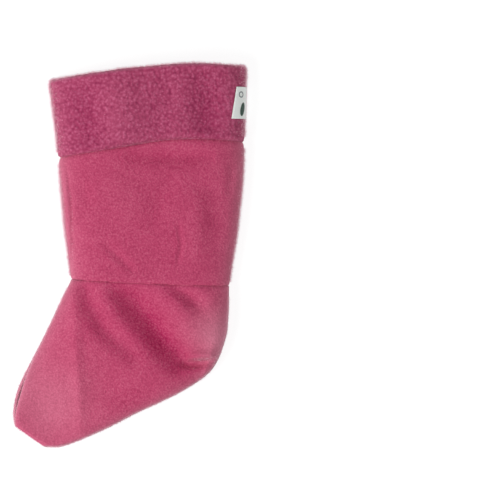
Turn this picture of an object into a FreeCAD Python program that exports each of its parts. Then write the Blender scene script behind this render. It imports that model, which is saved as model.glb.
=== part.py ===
import FreeCAD, Part
import os

# A toddler's fleece boot-liner sock, lying flat on its side on the plane z = 0.
# +Y runs up the leg to the cuff, -X is the front (instep and toe), +Z points up from the table.
# Every sewn panel is a solid of its own, and each seam's thread is a group of short stitches
# on the inside, where the seam allowances are. Lengths are in millimetres.

Vec = FreeCAD.Vector

# ---- driving dimensions ----
FLEECE = 2.6                 # one layer of fleece
CUFF_WALL = 2 * FLEECE       # the cuff band is folded double
PLY_GAP = 0.4                # space between the cuff's two plies
FOLD_DEPTH = 3.0             # fold along the cuff's top edge, where the two plies are one
ALLOWANCE = 5.0              # width of a seam allowance turned to the inside
BUTT_GAP = 0.3               # gap between two panel edges that a seam draws together

EDGE_Z = 5.5                 # height of the side edges above the table
FLOOR_DIP = 1.0              # the underside is formed this far below the table, then cut level
ANKLE_HEIGHT = 18.5          # thickness of the lying sock at the ankle seam
LEG_HEIGHT = 21.0            # at the middle of the leg
CUFF_HEIGHT = 25.0           # at the cuff
HEEL_HEIGHT = 20.5           # at the heel
TOE_HEIGHT = 10.5            # at the blunt toe end

# Each section of the lying tube: its front point, its back point and its thickness.
ANKLE = ((-45.0, -18.5), (74.5, -23.5), ANKLE_HEIGHT)
LEG_SECTIONS = [
    ANKLE,
    ((-50.0, 24.0), (81.0, 26.0), LEG_HEIGHT),
    ((-53.0, 58.0), (84.5, 60.0), LEG_HEIGHT),
    ((-54.5, 92.0), (85.5, 98.0), LEG_HEIGHT),
]
CUFF_SECTIONS = [
    ((-53.0, 62.0), (85.0, 66.0), CUFF_HEIGHT - 1.0),
    ((-57.5, 100.0), (86.0, 112.0), CUFF_HEIGHT),
    ((-63.5, 146.0), (87.0, 152.0), CUFF_HEIGHT),
]
FOOT_SECTIONS = [            # a fan of sections from the ankle round to the toe
    ANKLE,
    ((-52.5, -33.5), (74.0, -44.5), HEEL_HEIGHT - 0.5),
    ((-59.5, -48.5), (71.5, -63.5), HEEL_HEIGHT),
    ((-66.5, -63.0), (61.0, -86.5), HEEL_HEIGHT - 0.5),
    ((-73.5, -77.5), (38.0, -102.5), 18.5),
    ((-80.5, -94.0), (7.0, -117.5), 16.5),
    ((-85.0, -108.5), (-23.0, -132.5), 14.5),
    ((-87.5, -120.0), (-49.5, -143.0), 12.5),
    ((-87.0, -128.0), (-64.5, -144.0), TOE_HEIGHT),
]

# Seams and the top edge as seen from above, from front to back.
ANKLE_SEAM = [(-45.0, -18.5), (15.0, -21.0), (74.5, -23.5)]
CUFF_SEAM = [(-53.5, 73.5), (-12.0, 80.0), (31.0, 86.5), (85.5, 85.0)]
TOP_EDGE = [(-61.5, 131.0), (0.0, 140.0), (50.0, 143.5), (87.0, 142.0)]
LEG_FRONT_SEAM = [(-48.5, 73.0), (-44.0, 40.0), (-43.5, 10.0), (-41.5, -18.6)]

STITCH_R = 0.35
STITCH_PITCH = 4.0
STITCH_SPAN = 4.0            # length of one stitch across its seam
STITCH_AIR = 0.25            # between a stitch and the cloth it lies on

LABEL_LOW, LABEL_HIGH = 103.5, 126.5     # the woven label's ends along the cuff's back edge
LABEL_LEAF = 10.5            # its width on the upper side
LABEL_TUCK = 5.0             # its width on the underside
LABEL_THICK = 0.6
LABEL_AIR = 0.15             # between label and pile

# Control polygon of half a section: share of the width, share of the rise above the side edge.
PROFILE = [(0.0, 0.0), (0.0, 0.45), (0.035, 0.8), (0.18, 1.0), (0.5, 1.0)]
HIGH, LOW = 60.0, -20.0      # levels clear above and clear below the sock
FAR = 200.0                  # further than the sock reaches


def section(front, back, height, edge_inset, wall):
    """Closed section of the lying tube in the upright plane through front and back."""
    a, b = Vec(front[0], front[1], 0), Vec(back[0], back[1], 0)
    along = (b - a).normalize() * edge_inset
    a, b = a + along, b - along
    shares = PROFILE + [(1.0 - u, v) for u, v in reversed(PROFILE[:-1])]
    curves = []
    for points, reach in ((shares, height - wall - EDGE_Z), (shares[::-1], wall - EDGE_Z - FLOOR_DIP)):
        curve = Part.BSplineCurve()
        curve.buildFromPoles([a + (b - a) * u + Vec(0, 0, EDGE_Z + reach * v) for u, v in points], False, 3)
        curves.append(curve.toShape())
    return Part.Wire(curves)


def lofted(sections, edge_inset=0.0, wall=0.0):
    """Solid through a row of sections, drawn in by edge_inset at its edges and by wall at its faces."""
    wires = [section(front, back, height, edge_inset, wall) for front, back, height in sections]
    return Part.makeLoft(wires, True, False)


def level_curve(points, shift=0.0):
    """Smooth level edge through a few (x, y) points, moved by shift along Y and carried on past its ends."""
    first, last = Vec(*points[0], 0), Vec(*points[-1], 0)
    lead = (first - Vec(*points[1], 0)).normalize() * ALLOWANCE * 2
    tail = (last - Vec(*points[-2], 0)).normalize() * ALLOWANCE * 2
    row = [first + lead] + [Vec(x, y, 0) for x, y in points] + [last + tail]
    curve = Part.BSplineCurve()
    curve.interpolate([point + Vec(0, shift, LOW) for point in row])
    return curve.toShape()


def zone(lower, upper):
    """Upright block between two level edges that both run from front to back."""
    ends = [Part.makeLine(lower.Vertexes[i].Point, upper.Vertexes[i].Point) for i in (0, -1)]
    face = Part.Face(Part.Wire([lower, ends[1], upper, ends[0]]))
    return face.extrude(Vec(0, 0, HIGH - LOW))


def slit(start, end, low, high):
    """Upright sheet of the butt gap's width between two (x, y) points."""
    run = Vec(end[0] - start[0], end[1] - start[1], 0)
    sheet = Part.makeBox(run.Length, BUTT_GAP, high - low, Vec(0, -BUTT_GAP / 2, 0))
    sheet.Placement = FreeCAD.Placement(Vec(*start, low), FreeCAD.Rotation(Vec(1, 0, 0), run))
    return sheet


def above_table(shape):
    """The shape cut level with the table."""
    return shape.cut(Part.makeBox(2 * FAR, 2 * FAR, -LOW, Vec(-FAR, -FAR, LOW)))


def hits(form, x, y):
    """Lowest and highest level at which an upright line through (x, y) is inside a form."""
    inside = Part.makeLine(Vec(x, y, LOW), Vec(x, y, HIGH)).common(form)
    levels = [vertex.Z for vertex in inside.Vertexes]
    return (min(levels), max(levels)) if levels else None


def stitch(start, end):
    """One stitch as a straight length of thread."""
    return Part.makeCylinder(STITCH_R, (end - start).Length, start, end - start)


def stitches_across(hollow, seam, before, after, sides):
    """Stitches that cross a seam on the hollow's ceiling (side 1) or its floor (side 0)."""
    row = seam.discretize(Distance=STITCH_PITCH)
    out = []
    for here, following in zip(row[1:-1], row[2:]):
        run = (following - here).normalize()
        across = Vec(-run.y, run.x, 0)
        ends = [here - across * before, here + across * after]
        found = [hits(hollow, end.x, end.y) for end in ends]
        if None in found:
            continue
        for side in sides:
            clear = (STITCH_R + STITCH_AIR) * (1 - 2 * side)
            out.append(stitch(*[Vec(end.x, end.y, hit[side] + clear) for end, hit in zip(ends, found)]))
    return out


def side_edge(form, side):
    """The long edge of a lofted form along its front (side -1) or its back (side 1)."""
    def reach(edge):
        return side * edge.CenterOfMass.x if edge.Length > 2 * CUFF_HEIGHT else -FAR
    level = [edge for edge in form.Edges if max(abs(v.Z - EDGE_Z) for v in edge.Vertexes) < 0.01]
    return max(level, key=reach)


def stitches_upright(points, centre):
    """Stitches that stand in the side edge of a hollow, moved off its wall towards the centre."""
    out = []
    for here, following in zip(points, points[1:]):
        run = (following - here).normalize()
        inward = Vec(-run.y, run.x, 0)
        if inward.dot(centre - here) < 0:
            inward = inward * -1
        foot = here + inward * (STITCH_R + 3 * STITCH_AIR) - Vec(0, 0, 0.15 * STITCH_SPAN)
        out.append(stitch(foot, foot + Vec(0, 0, 0.75 * STITCH_SPAN)))
    return out


# ---- the forms of the three lying tubes ----
leg_form = lofted(LEG_SECTIONS)
leg_hollow = lofted(LEG_SECTIONS, FLEECE, FLEECE)
leg_neck = lofted(LEG_SECTIONS, 2 * FLEECE, 2 * FLEECE)      # where allowances double the wall
cuff_form = lofted(CUFF_SECTIONS)
cuff_hollow = lofted(CUFF_SECTIONS, CUFF_WALL, CUFF_WALL)
foot_form = lofted(FOOT_SECTIONS)
foot_hollow = lofted(FOOT_SECTIONS[:-1], FLEECE + ALLOWANCE, FLEECE)

below_sock = level_curve(ANKLE_SEAM, shift=-ALLOWANCE * 2)
cuff_seam = level_curve(CUFF_SEAM)
top_edge = level_curve(TOP_EDGE)
parts = {}

# ---- leg panel: one strip closed at the front seam, allowances turned in at both ends ----
between_allowances = zone(level_curve(ANKLE_SEAM, shift=ALLOWANCE), level_curve(CUFF_SEAM, shift=-ALLOWANCE))
leg = leg_form.cut([leg_neck, leg_hollow.common(between_allowances)])
for start, end in zip(LEG_FRONT_SEAM, LEG_FRONT_SEAM[1:]):
    leg = leg.cut(slit(start, end, EDGE_Z + 1.0, HIGH))
parts["leg_panel"] = above_table(leg.common(zone(below_sock, cuff_seam)))

# ---- cuff band: two plies with a gap, joined by the fold along the top, closed at the back ----
middle_outer = lofted(CUFF_SECTIONS, FLEECE - PLY_GAP / 2, FLEECE - PLY_GAP / 2)
middle_inner = lofted(CUFF_SECTIONS, FLEECE + PLY_GAP / 2, FLEECE + PLY_GAP / 2)
ply_gap = middle_outer.cut(middle_inner).common(zone(cuff_seam, level_curve(TOP_EDGE, shift=-FOLD_DEPTH)))
back_gap = Part.makeBox(FAR, FAR, BUTT_GAP, Vec(CUFF_SECTIONS[0][1][0] - 2 * CUFF_WALL, 0, EDGE_Z))
cuff = cuff_form.cut([cuff_hollow, ply_gap, back_gap])
parts["cuff_band"] = above_table(cuff.common(zone(cuff_seam, top_edge)))

# ---- foot: an upper and a lower side, cut along the outline seam ----
foot = foot_form.cut(foot_hollow)
upper_half = Part.makeBox(2 * FAR, 2 * FAR, HIGH, Vec(-FAR, -FAR, EDGE_Z + BUTT_GAP / 2))
lower_half = Part.makeBox(2 * FAR, 2 * FAR, EDGE_Z - BUTT_GAP / 2, Vec(-FAR, -FAR, 0))
parts["foot_side_upper"] = foot.common(upper_half)
parts["foot_side_lower"] = foot.common(lower_half)

# ---- woven label, folded round the cuff's back edge ----
label_form = lofted(CUFF_SECTIONS, -LABEL_AIR - LABEL_THICK, -LABEL_AIR - LABEL_THICK)
label = label_form.cut(lofted(CUFF_SECTIONS, -LABEL_AIR, -LABEL_AIR))
back_x = CUFF_SECTIONS[1][1][0]
leaf_box = Part.makeBox(FAR, LABEL_HIGH - LABEL_LOW, HIGH, Vec(back_x - LABEL_LEAF, LABEL_LOW, EDGE_Z))
tuck_box = Part.makeBox(FAR, LABEL_HIGH - LABEL_LOW, EDGE_Z, Vec(back_x - LABEL_TUCK, LABEL_LOW, 0))
parts["label"] = label.common(leaf_box.fuse(tuck_box).removeSplitter())

# ---- thread ----
ankle_seam = level_curve(ANKLE_SEAM)
parts["ankle_thread"] = Part.makeCompound(
    stitches_across(leg_neck, ankle_seam, -0.3, STITCH_SPAN + 0.3, (0, 1)))
parts["cuff_join_thread"] = Part.makeCompound(
    stitches_across(leg_neck, cuff_seam, STITCH_SPAN + 0.3, -0.3, (0, 1)))

front_seam = Part.makePolygon([Vec(x, y, LOW) for x, y in LEG_FRONT_SEAM])
parts["leg_front_thread"] = Part.makeCompound(
    stitches_across(leg_hollow.common(between_allowances), front_seam, STITCH_SPAN / 2, STITCH_SPAN / 2, (1,)))

back_row = side_edge(cuff_hollow, 1).discretize(Distance=STITCH_PITCH)
back_row = [p for p in back_row if CUFF_SEAM[-1][1] + ALLOWANCE < p.y < TOP_EDGE[-1][1] - FOLD_DEPTH]
parts["cuff_back_thread"] = Part.makeCompound(stitches_upright(back_row, cuff_hollow.CenterOfMass))

outline = []
for side in (-1, 1):
    row = side_edge(foot_hollow, side).discretize(Distance=STITCH_PITCH)
    outline += stitches_upright(row[1:-1], foot_hollow.CenterOfMass)
parts["foot_outline_thread"] = Part.makeCompound(outline)

leaf_x = back_x - LABEL_LEAF + 1.0
row, y = [], LABEL_LOW + 1.5
while y + STITCH_SPAN / 2 < LABEL_HIGH:
    ends = []
    for level in (y, y + STITCH_SPAN / 2):
        ends.append(Vec(leaf_x, level, hits(label_form, leaf_x, level)[1] + STITCH_R + LABEL_AIR))
    row.append(stitch(*ends))
    y += STITCH_PITCH * 0.8
parts["label_thread"] = Part.makeCompound(row)

# ---- the origin is the middle of the footprint, on the table ----
box = Part.makeCompound(list(parts.values())).optimalBoundingBox(True, False)
middle = Vec((box.XMin + box.XMax) / 2, (box.YMin + box.YMax) / 2, 0)
os.makedirs("parts", exist_ok=True)
for name, shape in parts.items():
    shape.translate(-middle)
    shape.exportStep("parts/" + name + ".step")
    print(name, "valid" if shape.isValid() else "INVALID", len(shape.Solids), "solids",
          round(shape.Volume), "mm3")
print("moved by", -middle, "box", box)
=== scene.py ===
import logging
import math
from collections.abc import Callable
from dataclasses import dataclass
from enum import Enum

import bpy
import numpy as np
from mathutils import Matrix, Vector, noise


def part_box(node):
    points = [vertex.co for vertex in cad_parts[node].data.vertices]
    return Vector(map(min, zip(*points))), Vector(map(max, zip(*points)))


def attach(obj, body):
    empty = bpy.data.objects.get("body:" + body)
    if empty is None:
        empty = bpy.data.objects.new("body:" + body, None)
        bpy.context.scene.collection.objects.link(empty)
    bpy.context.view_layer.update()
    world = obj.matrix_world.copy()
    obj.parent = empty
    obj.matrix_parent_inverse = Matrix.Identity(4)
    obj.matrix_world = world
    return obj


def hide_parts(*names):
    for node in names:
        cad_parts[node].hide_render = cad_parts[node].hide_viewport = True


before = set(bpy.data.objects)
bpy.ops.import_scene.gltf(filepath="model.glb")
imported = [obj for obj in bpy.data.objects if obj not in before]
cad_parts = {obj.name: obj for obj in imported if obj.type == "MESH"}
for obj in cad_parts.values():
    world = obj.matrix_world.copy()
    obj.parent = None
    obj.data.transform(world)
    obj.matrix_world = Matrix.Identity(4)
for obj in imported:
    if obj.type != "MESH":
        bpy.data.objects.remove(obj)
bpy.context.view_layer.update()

LOG = logging.getLogger("boot_liner")
MM = 0.001

Line = tuple[tuple[float, float], ...]       # places along a seam, an edge or a fold, as x and y
Layer = tuple[float, float, float]           # soft noise: its height, its size and its seed

# ---- sizes shared by all the cloth, millimetres ----
FLEECE = 2.6                 # one layer of fleece
ALLOWANCE = 5.0              # width of a seam allowance turned to the inside
EDGE_Z = 5.5                 # height of the lying sock's side edges
FLOOR_DIP = 1.0              # the underside is pressed level from this far below
LEAST_DROP = 0.3             # the least that an inner face hangs below the side edges
SEAM_TUCK = 1.3              # how deep the cloth rolls in at a seam
SEAM_ROLL = 1.3              # how far from the seam the roll begins
SEAM_LAP = 0.5               # how far a panel runs on beneath the roll of the next one
LAP_DIVE = 1.6               # how much deeper that lap goes for each millimetre it runs on
ALLOWANCE_STEP = 0.4         # run over which a wall thickens to a seam allowance
HOLD, HOLD_REACH = 0.75, 5.0             # share of a crease that a seam holds flat, and how far off
TOE_REACH, TOE_DEPTH = -87.58, -144.31   # where the foot's outline ends, at front and bottom


class Held(Enum):
    """How a panel of cloth is held."""

    LAID = "laid"
    FOLDED = "folded"


# ---------------------------------------------------------------- small helpers


def linear(hex_colour: str) -> tuple[float, float, float, float]:
    """Turn an sRGB hex colour into the linear colour that a shader takes.

    Args:
        hex_colour: six hex digits.

    Returns:
        Red, green, blue and an alpha of one.
    """
    out = []
    for i in (0, 2, 4):
        c = int(hex_colour[i:i + 2], 16) / 255
        out.append(c / 12.92 if c <= 0.04045 else ((c + 0.055) / 1.055) ** 2.4)
    return (*out, 1.0)


def smooth_through(t: np.ndarray, knots: np.ndarray, values: np.ndarray) -> np.ndarray:
    """Cubic curve through a few values, with slopes taken from their neighbours.

    Args:
        t: where the curve is wanted.
        knots: rising positions of the given values.
        values: one value, or one row of values, for each knot.

    Returns:
        The curve's values at t.
    """
    knots, values = np.asarray(knots, float), np.asarray(values, float)
    slopes = np.gradient(values, knots, axis=0)
    t = np.clip(np.asarray(t, float), knots[0], knots[-1])
    i = np.clip(np.searchsorted(knots, t) - 1, 0, len(knots) - 2)
    span = knots[i + 1] - knots[i]
    s = (t - knots[i]) / span
    if values.ndim > 1:
        s, span = s[..., None], span[..., None]
    a, b = values[i], values[i + 1]
    da, db = slopes[i] * span, slopes[i + 1] * span
    return (
        (2 * s**3 - 3 * s**2 + 1) * a + (s**3 - 2 * s**2 + s) * da
        + (3 * s**2 - 2 * s**3) * b + (s**3 - s**2) * db
    )


def half_section(count: int, width: float = 135.0, rise: float = 15.0) -> tuple[np.ndarray, np.ndarray]:
    """Shares of width and rise along half a lying tube's section, evenly spaced on the cloth.

    Args:
        count: number of points from the front edge to the back edge.
        width: typical width of the tube.
        rise: typical rise above the side edges.

    Returns:
        The share of the width and the share of the rise at each point.
    """
    angle = np.linspace(0, math.pi, 2001)
    across = 0.5 - 0.5 * np.sign(np.cos(angle)) * np.sqrt(np.abs(np.cos(angle)))
    up = np.sin(angle)
    steps = np.hypot(np.diff(across) * width, np.diff(up) * rise)
    run = np.concatenate([[0], np.cumsum(steps)])
    even = np.linspace(0, run[-1], count)
    return np.interp(even, run, across), np.interp(even, run, up)


def add_node(tree: bpy.types.NodeTree, kind: str, links: dict | None = None, **settings) -> bpy.types.Node:
    """Add a shader node with its settings and its incoming links.

    Args:
        tree: the material's node tree.
        kind: the node's type name.
        links: for each input, by name or number, a socket to link or a value to set.
        settings: attributes to set on the node.

    Returns:
        The new node.
    """
    node = tree.nodes.new(kind)
    for name, value in settings.items():
        setattr(node, name, value)
    for key, value in (links or {}).items():
        if isinstance(value, bpy.types.NodeSocket):
            tree.links.new(value, node.inputs[key])
        else:
            node.inputs[key].default_value = value
    return node


def empty_material(name: str) -> bpy.types.Material:
    """Start a material whose node tree is empty.

    Args:
        name: the material's name.

    Returns:
        The new material.
    """
    mat = bpy.data.materials.new(name)
    mat.use_nodes = True
    mat.node_tree.nodes.clear()
    return mat


def mesh_piece(name: str, points: np.ndarray, faces: list) -> bpy.types.Object:
    """Make a smooth mesh object from points in millimetres and let it ride on the sock.

    Args:
        name: the piece's name.
        points: rows of x, y, z in millimetres.
        faces: rows of point numbers.

    Returns:
        The new object, at the origin.
    """
    mesh = bpy.data.meshes.new(name)
    mesh.from_pydata((points * MM).tolist(), [], faces)
    mesh.polygons.foreach_set("use_smooth", [True] * len(mesh.polygons))
    mesh.validate()
    mesh.update()
    piece = bpy.data.objects.new(name, mesh)
    bpy.context.scene.collection.objects.link(piece)
    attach(piece, "root")
    LOG.info("%s: %d faces", name, len(mesh.polygons))
    return piece


def turned_outward(piece: bpy.types.Object) -> None:
    """Make all faces of a closed piece point outwards.

    Args:
        piece: the piece, whose shell has no gaps.
    """
    bpy.ops.object.select_all(action="DESELECT")
    piece.select_set(True)
    bpy.context.view_layer.objects.active = piece
    bpy.ops.object.mode_set(mode="EDIT")
    bpy.ops.mesh.select_all(action="SELECT")
    bpy.ops.mesh.normals_make_consistent(inside=False)
    bpy.ops.object.mode_set(mode="OBJECT")


def pick_faces(piece: bpy.types.Object, test: Callable[[bpy.types.MeshPolygon], bool]) -> None:
    """Select only the faces that pass a test, and leave the piece in edit mode.

    Args:
        piece: the active piece.
        test: takes a face and says whether it is wanted.
    """
    bpy.ops.object.mode_set(mode="EDIT")
    bpy.ops.mesh.select_mode(type="FACE")
    bpy.ops.mesh.select_all(action="DESELECT")
    bpy.ops.object.mode_set(mode="OBJECT")
    for face in piece.data.polygons:
        face.select = bool(test(face))
    bpy.ops.object.mode_set(mode="EDIT")


def points_of(piece: bpy.types.Object) -> np.ndarray:
    """Read a piece's points.

    Args:
        piece: the piece.

    Returns:
        Rows of x, y, z in millimetres.
    """
    places = np.empty(len(piece.data.vertices) * 3)
    piece.data.vertices.foreach_get("co", places)
    return places.reshape(-1, 3) / MM


def ring_faces(rows: int, columns: int) -> list[list[int]]:
    """Quads of a grid of points that closes on itself both ways.

    Args:
        rows: rows of points.
        columns: points in a row.

    Returns:
        The quads, as point numbers.
    """
    i, j = np.meshgrid(np.arange(rows), np.arange(columns), indexing="ij")
    i, j = i.ravel(), j.ravel()
    below, beside = (i + 1) % rows, (j + 1) % columns
    quads = [i * columns + j, i * columns + beside, below * columns + beside, below * columns + j]
    return np.stack(quads, 1).tolist()


def shell_faces(rows: int, columns: int) -> tuple[list[list[int]], list[int]]:
    """Faces of a thin closed shell: an outer grid of points, then an inner one, joined at the border.

    Args:
        rows: rows of points in each grid.
        columns: points in a row.

    Returns:
        The faces, and the outer grid's border points in order.
    """
    i, j = np.meshgrid(np.arange(rows - 1), np.arange(columns - 1), indexing="ij")
    first = (i * columns + j).ravel()
    quads = np.stack([first, first + 1, first + columns + 1, first + columns], 1)
    faces = quads.tolist() + (quads[:, ::-1] + rows * columns).tolist()
    border = list(range(columns))
    border += [k * columns + columns - 1 for k in range(1, rows)]
    border += [(rows - 1) * columns + k for k in range(columns - 2, -1, -1)]
    border += [k * columns for k in range(rows - 2, 0, -1)]
    for a, b in zip(border, border[1:] + border[:1]):
        faces.append([a, a + rows * columns, b + rows * columns, b])
    return faces, border


def lumps(points: np.ndarray, size: float, seed: float) -> np.ndarray:
    """Soft noise from about -1 to 1 whose lumps are size millimetres across."""
    return np.array([noise.noise(Vector((x / size + seed, y / size, z / size))) for x, y, z in points])


def uneven(points: np.ndarray, *layers: Layer) -> np.ndarray:
    """Height in millimetres of a few layers of soft noise together."""
    return sum(height * lumps(points, size, seed) for height, size, seed in layers)


def curls(points: np.ndarray, size: float) -> np.ndarray:
    """Rounded clumps of curled pile.

    Args:
        points: rows of x, y, z in millimetres.
        size: typical distance between clumps.

    Returns:
        For each point, 1 in the middle of a clump and 0 between clumps.
    """
    out = np.empty(len(points))
    for i, (x, y, z) in enumerate(points):
        out[i] = noise.voronoi(Vector((x / size, y / size, z / size)))[0][0]
    return 1.0 - np.clip(out / 0.75, 0, 1) ** 1.5


# ---------------------------------------------------------------- the sock's form


@dataclass(frozen=True)
class Crease:
    """A valley (negative height) or a ridge in lying cloth, seen from above.

    Its peak is the share of the route at which it is highest. Beside it the cloth is pushed a little
    the other way: the shoulder says how much, and the next two say where and how widely.
    """

    route: Line
    height: float
    width: float
    peak: float = 0.5
    shoulder: float = 0.08
    shoulder_at: float = 1.8
    shoulder_spread: float = 0.8
    end_share: float = 0.1

    def lift(self, x: np.ndarray, y: np.ndarray) -> np.ndarray:
        """Height that the crease adds, fading at both of its ends.

        Args:
            x: places across the sock.
            y: places along the leg.

        Returns:
            The added height at each place.
        """
        best = np.full(x.shape, 1e9)
        share = np.zeros(x.shape)
        total = len(self.route) - 1
        for k, ((ax, ay), (bx, by)) in enumerate(zip(self.route, self.route[1:])):
            dx, dy = bx - ax, by - ay
            t = np.clip(((x - ax) * dx + (y - ay) * dy) / (dx * dx + dy * dy), 0, 1)
            d = np.hypot(x - ax - t * dx, y - ay - t * dy)
            nearer = d < best
            best = np.where(nearer, d, best)
            share = np.where(nearer, (k + t) / total, share)
        near = best / self.width
        share = np.clip(share, 0, 1) ** (math.log(0.5) / math.log(self.peak))
        fade = self.end_share + (1 - self.end_share) * np.sqrt(np.sin(math.pi * share))
        beside = self.shoulder * np.exp(-((near - self.shoulder_at) ** 2) / self.shoulder_spread)
        return self.height * fade * (np.exp(-near**2) - beside)


@dataclass(frozen=True)
class Slope:
    """A side of lying cloth that falls away to the left of a fold line."""

    start: tuple[float, float]
    end: tuple[float, float]
    fall: float
    soft: float

    def lift(self, x: np.ndarray, y: np.ndarray) -> np.ndarray:
        """Height that the slope takes off, rounded at the fold line.

        Args:
            x: places across the sock.
            y: places along the leg.

        Returns:
            The height at each place, which is nought or negative.
        """
        dx, dy = self.end[0] - self.start[0], self.end[1] - self.start[1]
        left = ((x - self.start[0]) * dy - (y - self.start[1]) * dx) / math.hypot(dx, dy)
        return -self.fall * self.soft * np.logaddexp(0, left / self.soft)


@dataclass(frozen=True)
class Outline:
    """The sock's seams and edges as seen from above, and its height, in millimetres."""

    leg_levels: tuple[float, ...] = (-24.0, -18.5, 25.0, 59.0, 95.0)
    leg_front: tuple[float, ...] = (-44.4, -45.0, -50.0, -53.0, -54.5)
    leg_back: tuple[float, ...] = (74.4, 75.0, 81.0, 84.5, 85.5)
    leg_height: tuple[float, ...] = (18.4, 18.5, 21.0, 21.0, 21.0)
    cuff_levels: tuple[float, ...] = (64.0, 106.0, 149.0)
    cuff_front: tuple[float, ...] = (-53.0, -57.8, -63.5)
    cuff_back: tuple[float, ...] = (85.0, 86.0, 87.0)
    cuff_height: tuple[float, ...] = (24.0, 25.0, 25.0)
    foot_front: Line = (
        (-45.0, -18.5), (-52.5, -33.5), (-59.5, -48.5), (-66.5, -63.0), (-73.5, -77.5),
        (-80.5, -94.0), (-85.0, -108.5), (-87.5, -120.0), (-87.0, -128.0),
    )
    foot_back: Line = (
        (74.5, -23.5), (74.0, -44.5), (71.5, -63.5), (61.0, -86.5), (38.0, -102.5),
        (7.0, -117.5), (-23.0, -132.5), (-49.5, -143.0), (-64.5, -144.0),
    )
    foot_height: tuple[float, ...] = (18.5, 20.0, 20.5, 20.0, 18.5, 16.5, 14.5, 12.5, 10.5)
    ankle_seam: Line = ((-60.0, -18.3), (-45.0, -18.5), (15.0, -21.0), (74.5, -23.5), (90.0, -24.2))
    cuff_seam: Line = ((-70.0, 71.0), (-53.5, 73.5), (-12.0, 80.0), (31.0, 86.5), (85.5, 85.0), (95.0, 84.0))
    top_edge: Line = (
        (-75.0, 129.0), (-61.5, 131.0), (0.0, 140.0), (50.0, 143.5), (87.0, 142.0), (95.0, 141.5),
    )
    leg_front_seam: Line = ((-48.5, 74.0), (-44.0, 40.0), (-43.5, 10.0), (-44.5, -18.0))

    def leg(self, columns: int) -> "Tube":
        """The lying leg's form, with that many places round its section."""
        return Tube(self.leg_levels, self.leg_front, self.leg_back, self.leg_height, columns)

    def cuff(self, columns: int) -> "Tube":
        """The lying cuff's form, with that many places round its section."""
        return Tube(self.cuff_levels, self.cuff_front, self.cuff_back, self.cuff_height, columns)


OUTLINE = Outline()
MAIN_FOLD: Line = ((-15.0, -16.0), (1.0, -30.0), (15.6, -47.0), (28.0, -64.0), (41.0, -75.5), (58.0, -80.5))

# Each crease is its route, its height, its width and the share of the route where it is highest.
FOOT_CREASES = (
    Slope((-43.5, -20.0), (-37.5, -131.0), 0.2, 1.6),
    Crease(((-43.0, -19.0), (-41.0, -60.0), (-38.0, -100.0), (-37.0, -134.0)), 1.3, 4.5, 0.4),
    Crease(((-34.5, -19.0), (-29.0, -37.0), (-19.0, -54.0), (-6.0, -66.0), (10.0, -82.0)), -4.2, 7.5, 0.35),
    Crease(MAIN_FOLD, -10.2, 13.0, 0.6),
    Crease(((28.0, -18.0), (41.3, -27.9), (56.0, -41.0)), -4.0, 6.5),
    Crease(((60.0, -30.0), (69.0, -46.0), (70.0, -62.0), (66.0, -74.0)), 3.0, 9.0, 0.6),
    Crease(((42.0, -75.5), (54.0, -75.5), (66.0, -74.5)), 6.2, 4.2, 0.6),
    Crease(((38.0, -81.6), (51.0, -80.8), (64.0, -78.6)), -7.0, 2.8, 0.6),
    Crease(((-30.0, -95.0), (-8.0, -104.0), (20.0, -104.0)), -1.2, 9.0),
)
LEG_CREASES = (
    Crease(((35.8, 25.0), (38.8, 8.0), (35.4, -8.0)), -1.0, 1.8),
    Crease(((-20.0, 10.0), (-8.0, -1.0), (4.0, -13.0)), -1.3, 3.4),
    Crease(((-4.0, 76.0), (30.0, 75.0), (64.0, 74.0)), -2.8, 7.0),
    Crease(((46.0, 64.0), (60.0, 46.0), (66.0, 20.0), (62.0, 0.0)), -2.0, 10.0),
    Crease(((77.0, 70.0), (76.0, 58.0), (74.0, 44.0)), -1.6, 3.0),
    Crease(((54.0, 50.0), (52.0, 20.0), (49.0, -12.0)), 1.4, 9.0),
    Crease(((-36.0, 54.0), (-33.0, 46.0), (-33.0, 36.0)), -1.4, 5.5),
    Crease(((-12.0, 66.0), (-6.0, 46.0), (0.0, 26.0)), 1.4, 14.0),
    Crease(((34.0, 60.0), (22.0, 40.0), (16.0, 16.0)), -1.2, 8.0),
    Crease(((-51.5, 68.0), (-48.6, 36.0), (-47.8, 4.0)), 3.2, 2.6),
    Crease(OUTLINE.leg_front_seam, -2.1, 1.2),
    Crease(((-42.6, 36.0), (-42.2, 15.0), (-44.2, -6.0)), -0.3, 1.6),
)
CUFF_CREASES = (
    Crease(((-26.0, 78.0), (-28.0, 105.0), (-31.0, 134.0)), -4.2, 14.0),
    Crease(((-8.0, 82.0), (-10.0, 110.0), (-14.0, 138.0)), 2.0, 18.0),
    Crease(((60.0, 84.0), (62.0, 112.0), (58.0, 142.0)), -4.2, 13.0, 0.4),
    Crease(((20.0, 92.0), (30.0, 112.0), (26.0, 138.0)), -1.0, 8.0),
)

EDGE_HIGHLIGHT = 0.25             # how much paler the pile is painted along a side edge: painted highlight for the pale bloom where the cloth turns away
TOE_HIGHLIGHT = ((-62.0, -112.0), 34.0, 0.09)      # where the toe and the heel are painted paler, as painted highlight where the light falls on them: place, reach, share
HEEL_HIGHLIGHT = ((64.0, -60.0), 20.0, 0.12)
FOLD_LIGHT_PALE = 0.04            # how pale the pile is painted between the folds; painted shade takes this away in a fold
FULL_SHADE_DEPTH = 9.0              # depth of fold at which the painted shade is full and the pile shows its full colour
SHADE_TOWARD_TOE = 4.0           # how far the painted shade is moved towards the toe side of its fold, its shaded flank
RIDGE_HIGHLIGHT_MOST = 1.3             # the most that a ridge is painted paler, as a multiple of the paleness between the folds


def relief(x: np.ndarray, y: np.ndarray, creases: tuple) -> np.ndarray:
    """Total height of all creases.

    Args:
        x: places across the sock.
        y: places along the leg.
        creases: the creases and slopes.

    Returns:
        The height at each place.
    """
    out = np.zeros(x.shape)
    for crease in creases:
        out += crease.lift(x, y)
    return out


def level_of(seam: Line, x: np.ndarray) -> np.ndarray:
    """Y of a seam or edge at each x."""
    xs, ys = zip(*seam)
    return smooth_through(x, np.array(xs), np.array(ys))


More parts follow.
